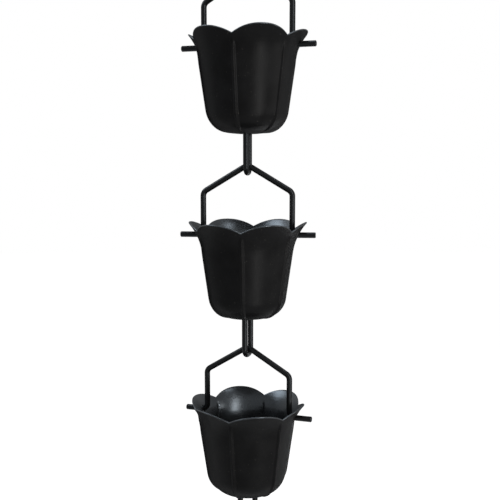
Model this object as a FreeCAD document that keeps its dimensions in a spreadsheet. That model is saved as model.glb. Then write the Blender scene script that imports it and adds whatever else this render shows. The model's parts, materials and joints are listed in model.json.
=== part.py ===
import FreeCAD, Part
import math
import os
import re
import sys

import Sketcher

# A rain chain: flower cups hung under each other on bent-wire bails and hairpin links.
# The frame's origin is under the top of the first bail, where a hook carries it. +Z is up.

# Driving sizes, in mm and degrees
SIZES = {
    "wire_dia": 5.0,
    "wire_chamfer": 0.5,
    "hook_gap": 0.3,
    # Bail: half the distance between its legs, and how far its ends reach from the middle
    "bail_half_span": 39.0,
    "rod_reach": 59.5,
    "leg_rise": 37.0,
    "arm_rise": 23.5,
    "elbow_radius": 5.0,
    "shoulder_radius": 6.0,
    "apex_radius": 8.0,
    # Cup: a shallow cone for a floor, a tapered wall and a flared rim, with drops below its tips
    "sheet_thickness": 1.2,
    "foot_radius": 31.7,
    "floor_angle": 5.7,
    "corner_radius": 20.0,
    "wall_taper": 8.3,
    "flare_drop": 9.1,
    "flare_angle": 45.0,
    "flare_radius": 45.0,
    "cup_height": 85.2,
    "notch_depth": 6.7,
    "rod_drop": 10.8,
    "rod_clearance": 0.35,
    # Seam rib: how far it stands out, how deep it is hollowed from behind, and both widths
    "rib_proud": 0.9,
    "rib_hollow": 0.7,
    "rib_angle": 5.0,
    "rib_back_angle": 3.0,
    "rib_start": 14.5,
    "rib_gap": 1.8,
    # Link: a hairpin in the drain hole, standing on two turned-out feet
    "link_spread": 13.5,
    "link_bend_radius": 6.0,
    "link_drop": 32.3,
    "link_reach": 18.0,
    "link_foot_radius": 4.0,
    "floor_gap": 0.3,
    "drain_clearance": 0.6,
    # Room past the metal that the cutting shapes have
    "cut_margin": 3.0,
}
PETAL_COUNT = 6
CUP_TURNS = (-15.8, -6.7, -19.7)
LINK_TURNS = (-11.8, -22.0, -80.0)
LINK_EDGE_ON = 90.0

# Sizes that follow from the driving ones
DERIVED = {
    "wire_radius": "wire_dia / 2",
    "half_spread": "link_spread / 2",
    "drain_radius": "half_spread + wire_radius + drain_clearance",
    "rod_hole_radius": "wire_radius + rod_clearance",
    "blank_top": "cup_height + cut_margin",
    "flare_height": "cup_height - flare_drop",
    "rod_height": "cup_height - rod_drop",
    "rib_top": "flare_height - rib_gap",
    "rim_foot": "foot_radius + flare_height * (tan(wall_taper) - tan(flare_angle))",
    "tip_radius": "rim_foot + cup_height * tan(flare_angle)",
    "scallop_half_width": f"tip_radius * sin({180 / PETAL_COUNT})",
    "scallop_radius": "(scallop_half_width ^ 2 + notch_depth ^ 2) / (2 * notch_depth)",
    "floor_top_at_reach": "sheet_thickness / cos(floor_angle) + link_reach * tan(floor_angle)",
    "link_foot_height": "floor_top_at_reach + floor_gap + wire_radius",
    "arm_half_turn": "atan(arm_rise / bail_half_span)",
    "apex_sag": "apex_radius * (1 / cos(arm_half_turn) - 1)",
    "bail_rise": "leg_rise + arm_rise - apex_sag",
    "first_rod_level": "wire_radius - bail_rise",
    "unit_drop": "rod_height + link_drop - wire_dia - hook_gap + bail_rise",
}

doc = FreeCAD.newDocument("RainChain")
sheet = doc.addObject("Spreadsheet::Sheet", "Sizes")


def fill_sheet():
    """Write one row for each driving size: its name, its value and an alias for the value."""
    for row, (name, number) in enumerate(SIZES.items(), start=1):
        sheet.set(f"A{row}", name)
        sheet.set(f"B{row}", str(number))
        sheet.setAlias(f"B{row}", name)
    doc.recompute()


def bound(expression):
    """Spell an expression out in the sheet's own cells."""
    def spell(match):
        word = match[0]
        if word in DERIVED:
            return f"({bound(DERIVED[word])})"
        return f"Sizes.{word}" if word in SIZES else word
    return re.sub(r"[a-z_]{4,}", spell, expression)


def value(expression):
    """The number that an expression gives."""
    return float(sheet.evalExpression(bound(expression)))


def origin_feature(body, role):
    return next(f for f in body.Origin.OriginFeatures if f.Role == role)


def new_sketch(body, name, plane):
    sketch = body.newObject("Sketcher::SketchObject", name)
    sketch.AttachmentSupport = (origin_feature(body, plane), "")
    sketch.MapMode = "FlatFace"
    return sketch


def tie(sketch, constraint, expression):
    """Add a constraint and bind its number to the sheet."""
    index = sketch.addConstraint(Sketcher.Constraint(*constraint, value(expression)))
    sketch.setExpression(f"Constraints[{index}]", bound(expression))


def pin_coordinate(sketch, kind, axis, geometry, point, expression):
    """Hold one coordinate of a point: on the axis where it is zero, and otherwise at its distance."""
    place = value(expression)
    if abs(place) < 1e-9:
        sketch.addConstraint(Sketcher.Constraint("PointOnObject", geometry, point, axis))
    elif place > 0:
        tie(sketch, (kind, -1, 1, geometry, point), expression)
    else:
        tie(sketch, (kind, geometry, point, -1, 1), f"-({expression})")


def pin_point(sketch, geometry, point, across, up):
    pin_coordinate(sketch, "DistanceX", -2, geometry, point, across)
    pin_coordinate(sketch, "DistanceY", -1, geometry, point, up)


def draw_path(sketch, corners, closed=False):
    """Draw straight runs between corners, each an (across, up, bend radius or None) of expressions.

    A construction line joins each pair of corners. The real runs lie on these lines, and arcs
    tangent to them round the corners that have a bend radius."""
    count = len(corners)
    runs = count if closed else count - 1
    points = [FreeCAD.Vector(value(across), value(up), 0) for across, up, _ in corners]
    radii = [value(bend) if bend else 0.0 for _, _, bend in corners]

    def cut_back(corner, neighbour):
        """Where the run from a corner to its neighbour starts, past the corner's arc."""
        if not radii[corner]:
            return points[corner]
        ahead = (points[(corner + 1) % count] - points[corner]).normalize()
        behind = (points[corner - 1] - points[corner]).normalize()
        half = ahead.getAngle(behind) / 2
        along = (points[neighbour] - points[corner]).normalize()
        return points[corner] + along * (radii[corner] / math.tan(half))

    guides, lines = [], []
    for run in range(runs):
        following = (run + 1) % count
        guides.append(sketch.addGeometry(Part.LineSegment(points[run], points[following]), True))
        ends = cut_back(run, following), cut_back(following, run)
        lines.append(sketch.addGeometry(Part.LineSegment(*ends), False))
    for run in range(runs):
        pin_point(sketch, guides[run], 1, *corners[run][:2])
        following = (run + 1) % count
        if run + 1 < runs or closed:
            joint = ("Coincident", guides[run], 2, guides[following], 1)
            sketch.addConstraint(Sketcher.Constraint(*joint))
        else:
            pin_point(sketch, guides[run], 2, *corners[following][:2])
        for end, corner in ((1, run), (2, following)):
            if radii[corner]:
                seat = ("PointOnObject", lines[run], end, guides[run])
            elif end == 2 and (closed or run + 1 < runs):
                seat = ("Coincident", lines[run], end, lines[following], 1)
            else:
                seat = ("Coincident", lines[run], end, guides[run], end)
            sketch.addConstraint(Sketcher.Constraint(*seat))
    for corner in range(count):
        if radii[corner]:
            round_corner(sketch, lines[corner - 1], lines[corner], points[corner], radii[corner],
                         corners[corner][2])


def round_corner(sketch, before, after, corner, radius, expression):
    """Put a tangent arc between the end of one run and the start of the next."""
    start = sketch.getPoint(before, 2)
    end = sketch.getPoint(after, 1)
    inward = ((start + end) * 0.5 - corner).normalize()
    half = (start - corner).getAngle(inward)
    middle = corner + inward * (radius / math.sin(half))
    left_turn = (corner - start).cross(end - corner).z > 0
    first, last = (start, end) if left_turn else (end, start)
    angles = [math.atan2(p.y - middle.y, p.x - middle.x) for p in (first, last)]
    if angles[1] < angles[0]:
        angles[1] += 2 * math.pi
    circle = Part.Circle(middle, FreeCAD.Vector(0, 0, 1), radius)
    arc = sketch.addGeometry(Part.ArcOfCircle(circle, *angles), False)
    near, far = (1, 2) if left_turn else (2, 1)
    sketch.addConstraint(Sketcher.Constraint("Tangent", before, 2, arc, near))
    sketch.addConstraint(Sketcher.Constraint("Tangent", arc, far, after, 1))
    tie(sketch, ("Radius", arc), expression)


def draw_circle(sketch, across, up, radius):
    centre = FreeCAD.Vector(value(across), value(up), 0)
    circle = Part.Circle(centre, FreeCAD.Vector(0, 0, 1), value(radius))
    geometry = sketch.addGeometry(circle, False)
    pin_point(sketch, geometry, 3, across, up)
    tie(sketch, ("Radius", geometry), radius)


def end_circle(body, name, reach, level):
    """The wire's section at its -X end, on the YZ plane shifted out to there."""
    sketch = new_sketch(body, name, "YZ_Plane")
    sketch.AttachmentOffset = FreeCAD.Placement(
        FreeCAD.Vector(0, 0, -value(reach)), FreeCAD.Rotation())
    sketch.setExpression("AttachmentOffset.Base.z", bound(f"-({reach})"))
    draw_circle(sketch, "0", level, "wire_radius")
    return sketch


def around(body, feature, name):
    """Repeat a feature once for each petal."""
    pattern = body.newObject("PartDesign::PolarPattern", name)
    pattern.Originals = [feature]
    pattern.Axis = (origin_feature(body, "Z_Axis"), [""])
    pattern.Angle = 360
    pattern.Occurrences = PETAL_COUNT
    body.Tip = pattern
    doc.recompute()


def pocket(body, name, sketch, both_ways, reach):
    """Cut a sketch's outline out of the body, to one side of its plane or to both."""
    before = body.Shape.Volume
    feature = body.newObject("PartDesign::Pocket", name)
    feature.Profile = sketch
    feature.SideType = "Symmetric" if both_ways else "One side"
    feature.Length = value(reach)
    feature.setExpression("Length", bound(reach))
    doc.recompute()
    if not body.Shape.Volume < before:
        raise RuntimeError(f"{name} cuts nothing")
    return feature


def chamfer_ends(body, name, positions):
    """Chamfer the round edges at a wire's two ends."""
    wire = body.Tip
    edges = []
    for index, edge in enumerate(body.Shape.Edges, start=1):
        centre = edge.CenterOfMass
        round_edge = isinstance(edge.Curve, Part.Circle) and edge.isClosed()
        if round_edge and any((centre - p).Length < 1e-4 for p in positions):
            edges.append(f"Edge{index}")
    chamfer = body.newObject("PartDesign::Chamfer", name)
    chamfer.Base = (wire, edges)
    chamfer.Size = value("wire_chamfer")
    chamfer.setExpression("Size", bound("wire_chamfer"))
    doc.recompute()


def new_body(label):
    body = doc.addObject("PartDesign::Body", label)
    body.Label = label
    return body


def place(body, turn, height):
    """Stand a body on the chain's axis at its turn and height."""
    rotation = FreeCAD.Rotation(FreeCAD.Vector(0, 0, 1), turn)
    body.Placement = FreeCAD.Placement(FreeCAD.Vector(0, 0, height), rotation)


def make_wire(label, corners, reach, level):
    """A bent round wire in the XZ plane, with chamfered ends at -reach and +reach."""
    body = new_body(label)
    path = new_sketch(body, f"{label}_path", "XZ_Plane")
    draw_path(path, corners)
    section = end_circle(body, f"{label}_section", reach, level)
    doc.recompute()
    wire = body.newObject("PartDesign::AdditivePipe", f"{label}_wire")
    wire.Profile = section
    wire.Spine = (path, [f"Edge{index + 1}" for index in range(len(path.Shape.Edges))])
    doc.recompute()
    ends = [FreeCAD.Vector(side * value(reach), 0, value(level)) for side in (-1, 1)]
    chamfer_ends(body, f"{label}_ends", ends)
    return body


def make_bail(label):
    """The bail, with its rod ends on the local X axis."""
    top = "leg_rise + arm_rise"
    corners = [
        ("-rod_reach", "0", None),
        ("-bail_half_span", "0", "elbow_radius"),
        ("-bail_half_span", "leg_rise", "shoulder_radius"),
        ("0", top, "apex_radius"),
        ("bail_half_span", "leg_rise", "shoulder_radius"),
        ("bail_half_span", "0", "elbow_radius"),
        ("rod_reach", "0", None),
    ]
    return make_wire(label, corners, "rod_reach", "0")


def make_link(label):
    """The link, with the cup's lowest point at the local origin."""
    foot = "link_foot_height"
    corners = [
        ("-link_reach", foot, None),
        ("-half_spread", foot, "link_foot_radius"),
        ("-half_spread", "-link_drop", "link_bend_radius"),
        ("half_spread", "-link_drop", "link_bend_radius"),
        ("half_spread", foot, "link_foot_radius"),
        ("link_reach", foot, None),
    ]
    return make_wire(label, corners, "link_reach", foot)


def floor_corner(inset):
    """Where the floor's line meets the wall's line, both moved into the cup by an inset."""
    foot = f"(foot_radius - ({inset}) / cos(wall_taper))"
    floor = f"(({inset}) / cos(floor_angle))"
    across = f"(({foot} + {floor} * tan(wall_taper)) / (1 - tan(floor_angle) * tan(wall_taper)))"
    return across, f"({floor} + {across} * tan(floor_angle))"


def flare_corner(inset):
    """Where the wall's line meets the rim's line, both moved into the cup by an inset."""
    foot = f"(foot_radius - ({inset}) / cos(wall_taper))"
    rim = f"(rim_foot - ({inset}) / cos(flare_angle))"
    up = f"(({foot} - {rim}) / (tan(flare_angle) - tan(wall_taper)))"
    return f"({foot} + {up} * tan(wall_taper))", up


def wall_point(inset, height):
    """The point of the wall's line at a height."""
    return f"foot_radius - ({inset}) / cos(wall_taper) + ({height}) * tan(wall_taper)", height


def rim_point(inset, height):
    """The point of the rim's line at a height."""
    return f"rim_foot - ({inset}) / cos(flare_angle) + ({height}) * tan(flare_angle)", height


def wall_bends(inset):
    """The two rounded corners that every line along the wall has."""
    return [
        (*floor_corner(inset), f"corner_radius - ({inset})"),
        (*flare_corner(inset), f"flare_radius + ({inset})"),
    ]


def profile(body, name, inset, top):
    """The closed outline of everything inside an inset copy of the cup's outer surface."""
    sketch = new_sketch(body, name, "XZ_Plane")
    corners = [
        ("0", f"({inset}) / cos(floor_angle)", None),
        *wall_bends(inset),
        (*rim_point(inset, top), None),
        ("0", top, None),
    ]
    draw_path(sketch, corners, closed=True)
    return sketch


def revolve(body, kind, name, sketch, angle=None):
    """Turn an outline about the cup's axis: all the way round, or half an angle to each side."""
    feature = body.newObject(kind, name)
    feature.Profile = sketch
    feature.ReferenceAxis = (sketch, ["V_Axis"])
    feature.Angle = value(angle) if angle else 360
    if angle:
        feature.Midplane = True
        feature.setExpression("Angle", bound(angle))
    doc.recompute()
    return feature


def rib(body, kind, name, outer, inner, width):
    """A strip that follows the wall at each seam, between two insets and as wide as an angle.

    It runs from the floor straight up the wall, so that its top fades into the flare."""
    sketch = new_sketch(body, f"{name}_outline", "YZ_Plane")

    def side(inset):
        foot = f"({inset}) / cos(floor_angle) + rib_start * tan(floor_angle)"
        bend = (*floor_corner(inset), f"corner_radius - ({inset})")
        return [("rib_start", foot, None), bend, (*wall_point(inset, "rib_top"), None)]

    draw_path(sketch, side(outer) + side(inner)[::-1], closed=True)
    strip = revolve(body, kind, name, sketch, width)
    around(body, strip, f"{name}_pattern")


def draw_notch(sketch):
    """The outline cut away over one seam: two petal edges that fall to the notch, and the room above."""
    tip, depth = value("cup_height"), value("notch_depth")
    half, radius = value("scallop_half_width"), value("scallop_radius")
    side, top = value("tip_radius + cut_margin"), value("blank_top + cut_margin")
    notch = FreeCAD.Vector(0, tip - depth, 0)
    normal = FreeCAD.Vector(0, 0, 1)
    swing = math.asin(half / radius)
    up = math.pi / 2
    right = Part.ArcOfCircle(Part.Circle(FreeCAD.Vector(half, tip - radius, 0), normal, radius),
                             up, up + swing)
    left = Part.ArcOfCircle(Part.Circle(FreeCAD.Vector(-half, tip - radius, 0), normal, radius),
                            up - swing, up)
    outline = [FreeCAD.Vector(*xy, 0) for xy in
               ((half, tip), (side, tip), (side, top), (-side, top), (-side, tip), (-half, tip))]
    arc_right = sketch.addGeometry(right, False)
    arc_left = sketch.addGeometry(left, False)
    lines = [sketch.addGeometry(Part.LineSegment(a, b), False)
             for a, b in zip(outline, outline[1:])]

    def add(*items):
        sketch.addConstraint(Sketcher.Constraint(*items))

    add("Coincident", arc_right, 2, arc_left, 1)
    add("PointOnObject", arc_right, 2, -2)
    tie(sketch, ("DistanceY", -1, 1, arc_right, 2), "cup_height - notch_depth")
    add("Tangent", arc_right, 1, lines[0], 1)
    add("Tangent", arc_left, 2, lines[4], 2)
    for before, after in zip(lines, lines[1:]):
        add("Coincident", before, 2, after, 1)
    for flat in (lines[0], lines[2], lines[4]):
        add("Horizontal", flat)
    for upright in (lines[1], lines[3]):
        add("Vertical", upright)
    tie(sketch, ("DistanceY", -1, 1, lines[0], 1), "cup_height")
    tie(sketch, ("DistanceY", -1, 1, lines[4], 1), "cup_height")
    tie(sketch, ("DistanceX", -1, 1, arc_right, 3), "scallop_half_width")
    tie(sketch, ("DistanceX", arc_left, 3, -1, 1), "scallop_half_width")
    tie(sketch, ("DistanceX", -1, 1, lines[1], 1), "tip_radius + cut_margin")
    tie(sketch, ("DistanceX", lines[3], 1, -1, 1), "tip_radius + cut_margin")
    tie(sketch, ("DistanceY", -1, 1, lines[2], 1), "blank_top + cut_margin")


def make_cup(label):
    """The cup, with its lowest point at the local origin and petals on the local X axis."""
    body = new_body(label)
    outline = profile(body, f"{label}_outline", "0", "blank_top")
    revolve(body, "PartDesign::Revolution", f"{label}_blank", outline)
    rib(body, "PartDesign::Revolution", f"{label}_rib", "-rib_proud", "sheet_thickness / 2",
        "rib_angle")
    hollow = profile(body, f"{label}_inside", "sheet_thickness", "blank_top + cut_margin")
    revolve(body, "PartDesign::Groove", f"{label}_hollow", hollow)
    rib(body, "PartDesign::Groove", f"{label}_rib_back", "sheet_thickness - rib_hollow",
        "2 * sheet_thickness", "rib_back_angle")
    rim = new_sketch(body, f"{label}_notch", "XZ_Plane")
    draw_notch(rim)
    notch = pocket(body, f"{label}_scallop", rim, False, "tip_radius + 2 * cut_margin")
    around(body, notch, f"{label}_scallops")
    side = new_sketch(body, f"{label}_rod_hole", "YZ_Plane")
    draw_circle(side, "0", "rod_height", "rod_hole_radius")
    pocket(body, f"{label}_rod_holes", side, True, "2 * tip_radius + 2 * cut_margin")
    base = new_sketch(body, f"{label}_drain", "XY_Plane")
    draw_circle(base, "0", "0", "drain_radius")
    pocket(body, f"{label}_drain_hole", base, True, "rod_height")
    return body


def check_and_write(bodies):
    """Stop on a failed feature or a bad shape, and otherwise write each piece's file."""
    for item in doc.Objects:
        if "Invalid" in item.State or "Error" in item.State:
            raise RuntimeError(f"{item.Label} failed: {item.State}")
    for body in bodies:
        if body.Shape.isNull() or not body.Shape.isValid() or len(body.Shape.Solids) != 1:
            raise RuntimeError(f"{body.Label} is not one valid solid")
    os.makedirs("parts", exist_ok=True)
    for body in bodies:
        body.Shape.exportStep(f"parts/{body.Label}.step")
        box = body.Shape.BoundBox
        print(f"{body.Label}: volume {body.Shape.Volume:.1f}, "
              f"z {box.ZMin:.2f} to {box.ZMax:.2f}", file=sys.stderr)


fill_sheet()
pieces = []
for number, (cup_turn, link_turn) in enumerate(zip(CUP_TURNS, LINK_TURNS), start=1):
    rod_level = value("first_rod_level") - (number - 1) * value("unit_drop")
    cup_level = rod_level - value("rod_height")
    bail = make_bail(f"bail_{number}")
    cup = make_cup(f"cup_{number}")
    link = make_link(f"link_{number}")
    place(bail, cup_turn, rod_level)
    place(cup, cup_turn, cup_level)
    place(link, link_turn + LINK_EDGE_ON, cup_level)
    pieces += [bail, cup, link]
doc.recompute()
check_and_write(pieces)
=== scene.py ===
"""The looks of the rain chain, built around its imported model."""
import json
import math

import bpy
import numpy as np
from mathutils import Matrix, Vector


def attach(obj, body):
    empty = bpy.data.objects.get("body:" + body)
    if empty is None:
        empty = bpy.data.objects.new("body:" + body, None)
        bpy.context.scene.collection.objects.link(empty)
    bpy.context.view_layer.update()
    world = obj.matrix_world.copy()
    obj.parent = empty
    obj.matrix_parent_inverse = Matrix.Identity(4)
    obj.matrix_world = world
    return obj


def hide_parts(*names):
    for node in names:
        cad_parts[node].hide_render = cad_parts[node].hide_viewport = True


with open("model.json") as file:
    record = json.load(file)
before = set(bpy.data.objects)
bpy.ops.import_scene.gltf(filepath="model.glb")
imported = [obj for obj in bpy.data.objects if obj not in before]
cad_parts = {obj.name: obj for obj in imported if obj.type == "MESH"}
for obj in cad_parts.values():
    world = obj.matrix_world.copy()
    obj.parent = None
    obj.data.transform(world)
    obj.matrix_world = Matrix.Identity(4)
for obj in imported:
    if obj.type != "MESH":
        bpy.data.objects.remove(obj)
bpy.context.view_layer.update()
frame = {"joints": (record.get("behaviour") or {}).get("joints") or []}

MM = 0.001
CHAIN = (1, 2, 3)

# Wire and bail, in mm
WIRE_RADIUS = 2.5
WIRE_CHAMFER = 0.5
BAIL_HALF_SPAN = 39.0
ROD_REACH = 59.5
LEG_RISE = 37.0
ARM_RISE = 23.5
ELBOW_RADIUS = 5.0
SHOULDER_RADIUS = 6.0
APEX_RADIUS = 8.0

# Cup, in mm and degrees: a shallow cone for a floor, a tapered wall and a flared rim
PETALS = 6
SECTOR = 2 * math.pi / PETALS
SHEET = 1.2
FOOT_RADIUS = 31.7
FLOOR_ANGLE = 5.7
CORNER_RADIUS = 20.0
WALL_TAPER = 8.3
FLARE_HEIGHT = 76.1
FLARE_ANGLE = 45.0
FLARE_RADIUS = 45.0
CUP_HEIGHT = 85.2
NOTCH_DEPTH = 6.7
NOTCH_HEIGHT = CUP_HEIGHT - NOTCH_DEPTH
# The wall's line runs on past the rim, and the scallops shape the rows above a height
LINE_PAST_RIM = 4
SCALLOP_FOOT = 55.0
# How far the sheet's rounded edge stands above the last row of the outside
EDGE_RISE = SHEET * 0.35

# Rib over each seam, in mm: it widens and rises between radii, and fades below the notches
RIB_PROUD = 1.25
RIB_HOLLOW = 0.7
RIB_HALF_WIDTH = 2.4
RIB_LEAST_WIDTH = 0.3
RIB_WIDENS = (4, 34)
RIB_RISES = (12.5, 31.5)
RIB_FADES = (NOTCH_HEIGHT - 9, NOTCH_HEIGHT - 2)

# Side between two ribs: how flat it is, and the heights where that begins and ends, in mm
PANEL_FLATNESS = 0.28
PANEL_BEGINS = (4, 22)
PANEL_ENDS = (58, 76)
# A flat side's middle as a share of its mean radius
FLAT_SIDE = 0.953

# Link, in mm
LINK_HALF_SPREAD = 6.75
LINK_BEND_RADIUS = 6.0
LINK_DROP = 32.3
LINK_REACH = 18.0
LINK_FOOT_RADIUS = 4.0
LINK_TURNS = {1: 78.2, 2: 68.0, 3: 10.0}

# Clearances and what follows from them, in mm
ROD_CLEARANCE = 0.35
DRAIN_CLEARANCE = 0.6
FLOOR_GAP = 0.3
ROD_HOLE_RADIUS = WIRE_RADIUS + ROD_CLEARANCE
DRAIN_RADIUS = LINK_HALF_SPREAD + WIRE_RADIUS + DRAIN_CLEARANCE
FLOOR_SLOPE = math.radians(FLOOR_ANGLE)
FLOOR_UNDER_FOOT = SHEET / math.cos(FLOOR_SLOPE) + LINK_REACH * math.tan(FLOOR_SLOPE)
LINK_FOOT_HEIGHT = FLOOR_UNDER_FOOT + FLOOR_GAP + WIRE_RADIUS

# Coatings: specular level, its tint, roughness and how much the roughness streaks
CUP_OUTSIDE = (0.028, (1, 1, 1), 0.33, 0.03)
CUP_INSIDE = (0.40, (0.8, 0.9, 1), 0.26, 0.01)
WIRE_COATING = (0.09, (0.85, 0.93, 1), 0.18, 0.01)

# What all the coatings share, with the depth of their orange peel in metres
BLACK = (0.004, 0.004, 0.0042)
BLACK_SPREAD = 0.25
DUST_COLOUR = (0.16, 0.15, 0.13)
DUST_MOST = 0.3
GLOSS_SPREAD = 0.03
MATT_EDGE = 0.6
PEEL_STRENGTH = 0.06
PEEL_DEPTH = 0.0004

# Stage, in metres
CHAIN_MIDDLE = -0.24
FLOOR_LEVEL = -1.6
FLOOR_RADIUS = 14
FLOOR_COLOUR = (0.93, 0.93, 0.93)
FLOOR_GLOW = 0.9
WORLD_LIGHT = 0.12

# Lamps: bearing and elevation in degrees, distance, width and height in metres, radiance, colour
LAMPS = {
    "key": (32, 4, 1.5, 0.34, 2.0, 16, (1, 0.99, 0.97)),
    "right": (68, -2, 1.4, 0.5, 0.9, 5, (1, 0.98, 0.95)),
    "high_right": (62, 56, 1.4, 0.3, 0.3, 12, (0.93, 0.97, 1)),
    "left": (-90, 46, 1.4, 0.6, 0.8, 10.5, (0.85, 0.93, 1)),
    "overhead": (0, 79, 1.5, 0.7, 0.7, 9, (0.85, 0.93, 1)),
    "low_back": (155, -30, 1.4, 0.6, 0.6, 7, (0.95, 0.98, 1)),
}

# Camera: the lens in pixels of the picture, its place in mm and its downward tilt in degrees
PICTURE_WIDTH = 500
SENSOR_WIDTH = 36
FOCAL_PIXELS = 824.4
CAMERA_PLACE = (2.1, -720.0, -160.7)
CAMERA_PITCH = 7.29
CAMERA_SHIFT = 0.05

# Fineness of the meshes, with the drill's length in metres
SEAM_HALF_ANGLE = math.radians(5)
SECTOR_DENSE = 26
SECTOR_OPEN = 30
LINE_SAMPLES = 1200
RIM_PASSES = 8
WALL_ROWS = 96
EDGE_ROWS = 5
DRILL_SIDES = 64
DRILL_LENGTH = 0.2
WIRE_SIDES = 32
BEND_STEP = math.radians(5)
CUP_CREASE = math.radians(50)
WIRE_CREASE = math.radians(40)


def rounded(corners):
    """The points of a line with rounded corners, each corner given as (across, up, radius)."""
    points = [np.array(corners[0][:2], float)]
    for before, corner, after in zip(corners, corners[1:], corners[2:]):
        a, b, c = (np.array(p[:2], float) for p in (before, corner, after))
        into, out = (b - a) / np.linalg.norm(b - a), (c - b) / np.linalg.norm(c - b)
        turn = math.acos(np.clip(into @ out, -1, 1))
        reach = corner[2] * math.tan(turn / 2)
        inward = (out - into) / np.linalg.norm(out - into)
        centre = b + inward * corner[2] / math.cos(turn / 2)
        start = b - into * reach - centre
        end = b + out * reach - centre
        steps = max(2, math.ceil(turn / BEND_STEP))
        for step in range(steps + 1):
            share = step / steps
            mix = math.sin((1 - share) * turn) * start + math.sin(share * turn) * end
            points.append(centre + mix / math.sin(turn))
    points.append(np.array(corners[-1][:2], float))
    return np.array(points)


def new_piece(name, vertices, faces, body):
    """A smooth mesh from points in metres that rides on a body and stands for its CAD node."""
    mesh = bpy.data.meshes.new(name)
    mesh.from_pydata([tuple(v) for v in vertices], [], [tuple(f) for f in faces])
    mesh.update()
    mesh.shade_smooth()
    piece = bpy.data.objects.new(name, mesh)
    bpy.context.scene.collection.objects.link(piece)
    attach(piece, body)
    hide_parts(body)
    return piece


def grid_faces(rows, columns, closed_rows):
    """Quads of a grid that is closed round its columns, and round its rows where asked."""
    faces = []
    for row in range(rows if closed_rows else rows - 1):
        for column in range(columns):
            here, beyond = row * columns, (row + 1) % rows * columns
            following = (column + 1) % columns
            faces.append((here + column, here + following, beyond + following, beyond + column))
    return faces


def stand(points, turn, height):
    """Points in mm about a piece's own axis, turned and lifted into the chain, in metres."""
    place = Matrix.Translation((0, 0, height)) @ Matrix.Rotation(turn, 4, "Z")
    return [place @ (Vector(p) * MM) for p in points]


# Cup


def wall_line():
    """The cup's outer line from its axis to above its rim, as radius and height."""
    taper, flare, floor = (math.tan(math.radians(a)) for a in (WALL_TAPER, FLARE_ANGLE, FLOOR_ANGLE))
    corner = FOOT_RADIUS / (1 - floor * taper)
    flare_foot = FOOT_RADIUS + FLARE_HEIGHT * (taper - flare)
    top = CUP_HEIGHT + LINE_PAST_RIM
    return rounded([
        (0, 0, 0),
        (corner, corner * floor, CORNER_RADIUS),
        (FOOT_RADIUS + FLARE_HEIGHT * taper, FLARE_HEIGHT, FLARE_RADIUS),
        (flare_foot + top * flare, top, 0),
    ])


def columns_round():
    """Angles round the cup, close together at each seam."""
    near = np.linspace(-SEAM_HALF_ANGLE, SEAM_HALF_ANGLE, SECTOR_DENSE, endpoint=False)
    far = np.linspace(SEAM_HALF_ANGLE, SECTOR - SEAM_HALF_ANGLE, SECTOR_OPEN, endpoint=False)
    one = np.concatenate([near, far])
    return np.concatenate([one + SECTOR * (k + 0.5) for k in range(PETALS)])


def smooth_step(x, low, high):
    """A soft step from 0 at the low value to 1 at the high one."""
    t = np.clip((x - low) / (high - low), 0, 1)
    return t * t * (3 - 2 * t)


def cup_points():
    """Rows of points over the outside, the rounded rim, the inside and the drain's edge."""
    line = wall_line()
    run = np.concatenate([[0], np.cumsum(np.linalg.norm(np.diff(line, axis=0), axis=1))])
    fine = np.linspace(0, run[-1], LINE_SAMPLES)
    radius, height = (np.interp(fine, run, line[:, k]) for k in (0, 1))
    slope_r, slope_z = np.gradient(radius, fine), np.gradient(height, fine)

    angle = columns_round()
    from_seam = (angle + SECTOR / 2) % SECTOR
    from_seam = np.minimum(from_seam, SECTOR - from_seam)

    tip_radius = np.interp(CUP_HEIGHT, height, radius)
    half = tip_radius * math.sin(SECTOR / 2)
    arc = (half ** 2 + NOTCH_DEPTH ** 2) / (2 * NOTCH_DEPTH)
    rim = np.full_like(angle, CUP_HEIGHT)
    for _ in range(RIM_PASSES):
        across = np.interp(rim, height, radius) * np.sin(from_seam)
        rim = CUP_HEIGHT - arc + np.sqrt(arc ** 2 - (half - np.minimum(across, half)) ** 2)
    rim_run = np.interp(rim - EDGE_RISE, height, fine)

    start = np.interp(DRAIN_RADIUS, radius, fine)
    split = np.interp(SCALLOP_FOOT, height, fine)
    level = np.linspace(start, rim_run.max(), WALL_ROWS)

    def along(run_level):
        """The run of a row: even all round below the split, drawn to the scallops above it."""
        share = np.clip((run_level - split) / (rim_run.max() - split), 0, 1)
        return np.where(run_level > split, split + share * (rim_run - split), run_level)

    def row(distance, inset, rib):
        """One row of points at a run along the line, inset into the sheet, with ribs."""
        r, z = np.interp(distance, fine, radius), np.interp(distance, fine, height)
        nr, nz = np.interp(distance, fine, slope_z), -np.interp(distance, fine, slope_r)
        size = np.hypot(nr, nz)
        width = RIB_HALF_WIDTH * smooth_step(r, *RIB_WIDENS)
        side = np.clip(r * np.sin(from_seam) / np.maximum(width, RIB_LEAST_WIDTH), 0, 1)
        begin = smooth_step(r, *RIB_RISES)
        end = 1 - smooth_step(z, *RIB_FADES)
        raised = rib * 0.5 * (1 + np.cos(math.pi * side)) * begin * end
        flat = PANEL_FLATNESS * smooth_step(z, *PANEL_BEGINS) * (1 - smooth_step(z, *PANEL_ENDS))
        panel = 1 + flat * (FLAT_SIDE / np.cos(SECTOR / 2 - from_seam) - 1)
        r, z = r * panel + (raised - inset) * nr / size, z + (raised - inset) * nz / size
        return np.stack([r * np.cos(angle), r * np.sin(angle), z], axis=1)

    rows = [row(along(s), 0, RIB_PROUD) for s in level]
    for step in range(1, EDGE_ROWS):
        phase = math.pi * step / EDGE_ROWS
        inset = SHEET / 2 * (1 - math.cos(phase))
        rows.append(row(rim_run + SHEET / 2 * math.sin(phase), inset, 0))
    rows += [row(along(s), SHEET, RIB_HOLLOW) for s in level[::-1]]
    return np.concatenate(rows), len(rows), len(angle)


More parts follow.
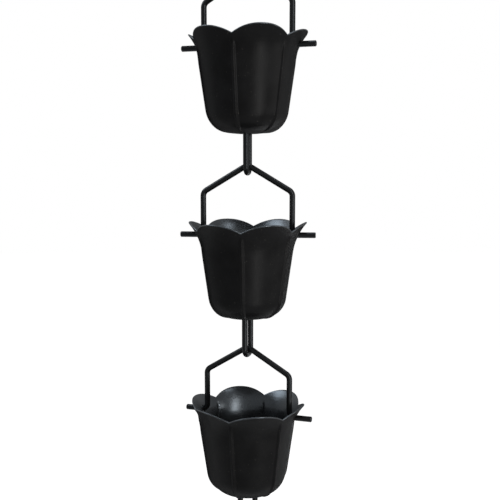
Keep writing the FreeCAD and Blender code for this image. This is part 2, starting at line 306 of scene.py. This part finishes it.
def cut_rod_holes(cup, turn, height):
    """Cut the bail's two holes through the wall."""
    bpy.ops.mesh.primitive_cylinder_add(
        vertices=DRILL_SIDES, radius=ROD_HOLE_RADIUS * MM, depth=DRILL_LENGTH)
    drill = bpy.context.object
    drill.matrix_world = (Matrix.Translation((0, 0, height)) @ Matrix.Rotation(turn, 4, "Z")
                          @ Matrix.Rotation(math.pi / 2, 4, "Y"))
    cut = cup.modifiers.new("rod_holes", "BOOLEAN")
    cut.object, cut.operation, cut.solver = drill, "DIFFERENCE", "EXACT"
    bpy.context.view_layer.update()
    drilled = bpy.data.meshes.new_from_object(cup.evaluated_get(bpy.context.evaluated_depsgraph_get()))
    cup.modifiers.remove(cut)
    cup.data = drilled
    cup.data.shade_smooth()
    cup.data.set_sharp_from_angle(angle=CUP_CREASE)
    bpy.data.objects.remove(drill)


def make_cup(number, turn, height, rod_height):
    """A cup with its rod holes. Its faces past the outside's rows take the second material."""
    points, rows, columns = cup_points()
    faces = [face[::-1] for face in grid_faces(rows, columns, closed_rows=True)]
    cup = new_piece(f"cup_{number}_shell", stand(points, turn, height), faces, f"cup_{number}")
    inside = columns * (WALL_ROWS - 1)
    for index, face in enumerate(cup.data.polygons):
        face.material_index = int(index >= inside)
    cut_rod_holes(cup, turn, rod_height)
    return cup


# Wires


def tube(name, corners, turn, height, body):
    """A round wire along a flat line with rounded corners, with chamfered ends."""
    line = rounded(corners)
    ahead = np.gradient(line, axis=0)
    ahead /= np.linalg.norm(ahead, axis=1, keepdims=True)
    face_radius = WIRE_RADIUS - WIRE_CHAMFER
    stations = [(line[0], ahead[0], 0.0), (line[0], ahead[0], face_radius),
                (line[0] + ahead[0] * WIRE_CHAMFER, ahead[0], WIRE_RADIUS)]
    stations += [(p, a, WIRE_RADIUS) for p, a in zip(line[1:-1], ahead[1:-1])]
    stations += [(line[-1] - ahead[-1] * WIRE_CHAMFER, ahead[-1], WIRE_RADIUS),
                 (line[-1], ahead[-1], face_radius), (line[-1], ahead[-1], 0.0)]
    round_angles = np.arange(WIRE_SIDES) * 2 * math.pi / WIRE_SIDES
    points = []
    for centre, direction, radius in stations:
        side = np.array([direction[1], -direction[0]])
        for a in round_angles:
            across, up = centre + side * radius * math.cos(a)
            points.append((across, radius * math.sin(a), up))
    faces = grid_faces(len(stations), WIRE_SIDES, closed_rows=False)
    wire = new_piece(name, stand(points, turn, height), faces, body)
    wire.data.set_sharp_from_angle(angle=WIRE_CREASE)
    return wire


def make_bail(number, turn, height):
    """A bail from one rod end over its pointed top to the other, about its rods' axis."""
    return tube(f"bail_{number}_wire", [
        (-ROD_REACH, 0, 0),
        (-BAIL_HALF_SPAN, 0, ELBOW_RADIUS),
        (-BAIL_HALF_SPAN, LEG_RISE, SHOULDER_RADIUS),
        (0, LEG_RISE + ARM_RISE, APEX_RADIUS),
        (BAIL_HALF_SPAN, LEG_RISE, SHOULDER_RADIUS),
        (BAIL_HALF_SPAN, 0, ELBOW_RADIUS),
        (ROD_REACH, 0, 0),
    ], turn, height, f"bail_{number}")


def make_link(number, turn, height):
    """A hairpin link from one foot round its bend to the other, about its cup's foot."""
    return tube(f"link_{number}_wire", [
        (-LINK_REACH, LINK_FOOT_HEIGHT, 0),
        (-LINK_HALF_SPREAD, LINK_FOOT_HEIGHT, LINK_FOOT_RADIUS),
        (-LINK_HALF_SPREAD, -LINK_DROP, LINK_BEND_RADIUS),
        (LINK_HALF_SPREAD, -LINK_DROP, LINK_BEND_RADIUS),
        (LINK_HALF_SPREAD, LINK_FOOT_HEIGHT, LINK_FOOT_RADIUS),
        (LINK_REACH, LINK_FOOT_HEIGHT, 0),
    ], turn, height, f"link_{number}")


# Materials


def new_material(name):
    """A material with its nodes, its links and its main shader."""
    material = bpy.data.materials.new(name)
    material.use_nodes = True
    nodes, links = material.node_tree.nodes, material.node_tree.links
    return material, nodes, links, nodes["Principled BSDF"]


def noise(nodes, links, place, scale, detail, stretch=(1, 1, 1)):
    """A noise over the surface, in features per metre, stretched along the axes."""
    mapping = nodes.new("ShaderNodeMapping")
    mapping.inputs["Scale"].default_value = stretch
    texture = nodes.new("ShaderNodeTexNoise")
    texture.inputs["Scale"].default_value = scale
    texture.inputs["Detail"].default_value = detail
    links.new(place.outputs["Object"], mapping.inputs["Vector"])
    links.new(mapping.outputs["Vector"], texture.inputs["Vector"])
    return texture.outputs["Fac"]


def remap(nodes, links, source, span, result):
    """Turn one span of a value into another, held at both ends."""
    node = nodes.new("ShaderNodeMapRange")
    for name, number in zip(("From Min", "From Max", "To Min", "To Max"), (*span, *result)):
        node.inputs[name].default_value = number
    links.new(source, node.inputs["Value"])
    return node.outputs["Result"]


def mix_colour(nodes, links, factor, first, second):
    """Mix two colours, each a socket or a triple."""
    node = nodes.new("ShaderNodeMix")
    node.data_type = "RGBA"
    links.new(factor, node.inputs["Factor"])
    for socket, colour in ((node.inputs[6], first), (node.inputs[7], second)):
        if isinstance(colour, tuple):
            socket.default_value = (*colour, 1)
        else:
            links.new(colour, socket)
    return node.outputs[2]


def add(nodes, links, first, second):
    """The sum of two values, held to 0..1."""
    node = nodes.new("ShaderNodeMath")
    node.operation, node.use_clamp = "ADD", True
    links.new(first, node.inputs[0])
    links.new(second, node.inputs[1])
    return node.outputs[0]


def coating(name, specular, tint, roughness, streaking):
    """A black sprayed coating: uneven gloss that turns matt at its edges, orange peel and dust."""
    material, nodes, links, shader = new_material(name)
    shader.inputs["Specular IOR Level"].default_value = specular
    shader.inputs["Specular Tint"].default_value = (*tint, 1)
    place = nodes.new("ShaderNodeTexCoord")

    cloud = noise(nodes, links, place, scale=70, detail=4)
    streak = noise(nodes, links, place, scale=160, detail=3, stretch=(1, 1, 0.12))
    speck = noise(nodes, links, place, scale=900, detail=2)
    dust = remap(nodes, links, speck, (0.72, 0.77), (0, DUST_MOST))

    tone = remap(nodes, links, cloud, (0.3, 0.7), (0, 1))
    shade = tuple(c * (1 - BLACK_SPREAD) for c in BLACK)
    light = tuple(c * (1 + BLACK_SPREAD) for c in BLACK)
    body = mix_colour(nodes, links, tone, shade, light)
    links.new(mix_colour(nodes, links, dust, body, DUST_COLOUR), shader.inputs["Base Color"])

    edge = nodes.new("ShaderNodeLayerWeight")
    edge.inputs["Blend"].default_value = 0.5
    patches = remap(nodes, links, cloud, (0.3, 0.7), (roughness - GLOSS_SPREAD, roughness + GLOSS_SPREAD))
    streaks = remap(nodes, links, streak, (0.35, 0.7), (-streaking, streaking))
    matt_edge = remap(nodes, links, edge.outputs["Facing"], (0.35, 0.8), (0, MATT_EDGE))
    gloss = add(nodes, links, add(nodes, links, patches, streaks), matt_edge)
    links.new(gloss, shader.inputs["Roughness"])

    bump = nodes.new("ShaderNodeBump")
    bump.inputs["Strength"].default_value = PEEL_STRENGTH
    bump.inputs["Distance"].default_value = PEEL_DEPTH
    links.new(noise(nodes, links, place, scale=1400, detail=2), bump.inputs["Height"])
    links.new(bump.outputs["Normal"], shader.inputs["Normal"])
    return material


def finish(piece, slot, *materials):
    """Give a piece its materials; the CAD slot that they stand for is not used."""
    for material in materials:
        piece.data.materials.append(material)


# Stage


def softbox(name, azimuth, elevation, distance, width, height, radiance, colour):
    """A soft light that faces the chain from a bearing: 0 is the front and 90 the right."""
    turn, lift = math.radians(azimuth), math.radians(elevation)
    aim = Vector((0, 0, CHAIN_MIDDLE))
    toward = Vector((math.sin(turn) * math.cos(lift), -math.cos(turn) * math.cos(lift), math.sin(lift)))
    data = bpy.data.lights.new(name, "AREA")
    data.shape, data.size, data.size_y = "RECTANGLE", width, height
    data.energy, data.color = radiance * math.pi * width * height, colour
    light = bpy.data.objects.new(name, data)
    light.location = aim + toward * distance
    light.rotation_euler = toward.to_track_quat("Z", "Y").to_euler()
    bpy.context.scene.collection.objects.link(light)


def seen_white(nodes, links):
    """A factor that is 1 for camera, glossy and transmission rays."""
    path = nodes.new("ShaderNodeLightPath")
    total = path.outputs["Is Camera Ray"]
    for other in ("Is Glossy Ray", "Is Transmission Ray"):
        total = add(nodes, links, total, path.outputs[other])
    return total


def make_world():
    """A world that is seen as white and lights the chain only a little."""
    world = bpy.data.worlds.new("studio")
    world.use_nodes = True
    bpy.context.scene.world = world
    nodes, links = world.node_tree.nodes, world.node_tree.links
    strength = remap(nodes, links, seen_white(nodes, links), (0, 1), (WORLD_LIGHT, 1))
    nodes["Background"].inputs["Color"].default_value = (1, 1, 1, 1)
    links.new(strength, nodes["Background"].inputs["Strength"])


def make_floor():
    """A matt white floor that is seen as white and keeps the chain's shadow."""
    bpy.ops.mesh.primitive_circle_add(
        vertices=96, radius=FLOOR_RADIUS, fill_type="NGON", location=(0, 0, FLOOR_LEVEL))
    floor = bpy.context.object
    floor.name = "floor"
    material, nodes, links, shader = new_material("floor_white")
    shader.inputs["Base Color"].default_value = (*FLOOR_COLOUR, 1)
    shader.inputs["Roughness"].default_value = 0.9
    shader.inputs["Specular IOR Level"].default_value = 0.0
    glow = nodes.new("ShaderNodeMath")
    glow.operation = "MULTIPLY"
    glow.inputs[1].default_value = FLOOR_GLOW
    links.new(seen_white(nodes, links), glow.inputs[0])
    shader.inputs["Emission Color"].default_value = (1, 1, 1, 1)
    links.new(glow.outputs[0], shader.inputs["Emission Strength"])
    floor.data.materials.append(material)


def make_camera():
    """The photograph's camera, fitted to the wire ends, rims and bends that it shows."""
    data = bpy.data.cameras.new("camera")
    camera = bpy.data.objects.new("camera", data)
    data.sensor_width = SENSOR_WIDTH
    data.lens = FOCAL_PIXELS / PICTURE_WIDTH * data.sensor_width
    data.shift_y = CAMERA_SHIFT
    camera.location = [c * MM for c in CAMERA_PLACE]
    camera.rotation_euler = (math.radians(90 - CAMERA_PITCH), 0, 0)
    bpy.context.scene.collection.objects.link(camera)
    bpy.context.scene.camera = camera


def make_chain():
    """Every cup, bail and link, placed by the frame's joints."""
    joints = {joint["name"]: joint for joint in frame["joints"]}
    outside = coating("cup_coating_outside", *CUP_OUTSIDE)
    inside = coating("cup_coating_inside", *CUP_INSIDE)
    wire_coating = coating("wire_coating", *WIRE_COATING)
    for number in CHAIN:
        swing = joints[f"cup_{number}_swing"]
        turn = math.atan2(swing["axis"][1], swing["axis"][0])
        rod_height = swing["pos_m"][2]
        foot_height = joints[f"link_{number}_swivel"]["pos_m"][2]
        cup = make_cup(number, turn, foot_height, rod_height)
        bail = make_bail(number, turn, rod_height)
        link = make_link(number, math.radians(LINK_TURNS[number]), foot_height)
        finish(cup, "cup_coating", outside, inside)
        finish(bail, "wire_coating", wire_coating)
        finish(link, "wire_coating", wire_coating)


bpy.context.scene.view_settings.view_transform = "Standard"
make_chain()
make_world()
make_floor()
for lamp, values in LAMPS.items():
    softbox(lamp, *values)
make_camera()
